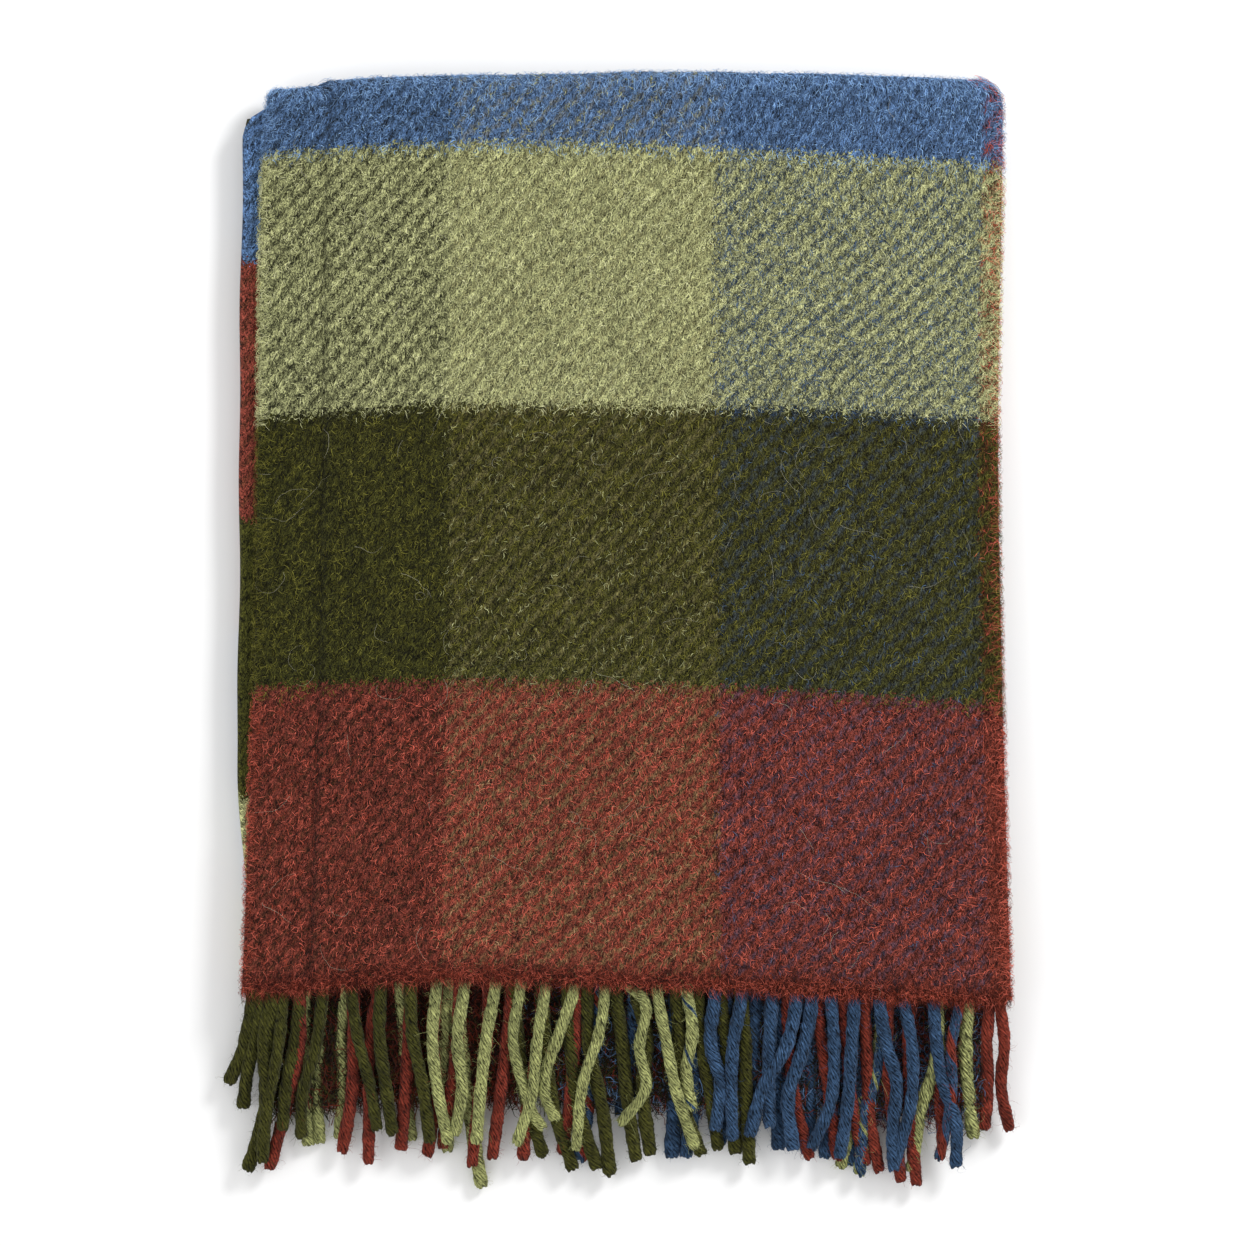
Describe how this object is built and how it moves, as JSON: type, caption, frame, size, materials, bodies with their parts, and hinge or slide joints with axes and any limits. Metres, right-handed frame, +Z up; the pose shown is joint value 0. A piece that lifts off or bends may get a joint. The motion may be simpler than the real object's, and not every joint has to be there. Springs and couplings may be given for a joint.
{
  "type": "camp blanket",
  "caption": "Brushed wool blanket in four-colour checks with twisted fringes, folded in thirds both ways into a flat package; its lengthwise folds open.",
  "frame": {"origin": "middle of the base of the folded package, fringe included", "axes": "+Z up through the leaves, +Y towards the top fold, +X to the right of the front leaf seen from above"},
  "size_m": [0.4896, 0.6985, 0.0332],
  "materials": {
    "checked_wool": "brushed 2/2 twill wool in checks of four colours",
    "blue_yarn": "twisted woollen yarn, blue",
    "light_green_yarn": "twisted woollen yarn, light green",
    "dark_green_yarn": "twisted woollen yarn, dark green",
    "red_yarn": "twisted woollen yarn, red"
  },
  "bodies": {
    "back_leaf": {"back_fringe_face_blue": "blue_yarn", "back_fringe_face_dark_green": "dark_green_yarn", "back_fringe_face_light_green": "light_green_yarn", "back_fringe_face_red": "red_yarn", "back_fringe_left_flap_blue": "blue_yarn", "back_fringe_left_flap_dark_green": "dark_green_yarn", "back_fringe_left_flap_light_green": "light_green_yarn", "back_fringe_left_flap_red": "red_yarn", "back_fringe_right_flap_dark_green": "dark_green_yarn", "back_fringe_right_flap_light_green": "light_green_yarn", "back_fringe_right_flap_red": "red_yarn", "back_leaf_face": "checked_wool", "back_leaf_left_flap": "checked_wool", "back_leaf_right_flap": "checked_wool"},
    "middle_leaf": {"middle_leaf_face": "checked_wool", "middle_leaf_left_flap": "checked_wool", "middle_leaf_right_flap": "checked_wool"},
    "front_leaf": {"front_leaf_face": "checked_wool", "front_leaf_left_flap": "checked_wool", "front_leaf_right_flap": "checked_wool"},
    "front_fringe": {"front_fringe_face_blue": "blue_yarn", "front_fringe_face_dark_green": "dark_green_yarn", "front_fringe_face_light_green": "light_green_yarn", "front_fringe_face_red": "red_yarn", "front_fringe_left_flap_blue": "blue_yarn", "front_fringe_left_flap_dark_green": "dark_green_yarn", "front_fringe_left_flap_light_green": "light_green_yarn", "front_fringe_left_flap_red": "red_yarn", "front_fringe_right_flap_dark_green": "dark_green_yarn", "front_fringe_right_flap_light_green": "light_green_yarn", "front_fringe_right_flap_red": "red_yarn"}
  },
  "joints": [
    {"name": "bottom_fold", "type": "hinge", "parent": "back_leaf", "child": "middle_leaf", "pos_m": [0, -0.2274, 0.011], "axis": [1, 0, 0], "range_deg": [0, 180]},
    {"name": "top_fold", "type": "hinge", "parent": "middle_leaf", "child": "front_leaf", "pos_m": [0, 0.3495, 0.0222], "axis": [-1, 0, 0], "range_deg": [0, 180]},
    {"name": "fringe_lie", "type": "hinge", "parent": "front_leaf", "child": "front_fringe", "pos_m": [0, -0.2332, 0.0278], "axis": [-1, 0, 0], "range_deg": [0, 10.5]}
  ],
  "couplings": [
    {"joint": "top_fold", "follows": "bottom_fold", "ratio": 1},
    {"joint": "fringe_lie", "follows": "bottom_fold", "ratio": 0.05833}
  ]
}
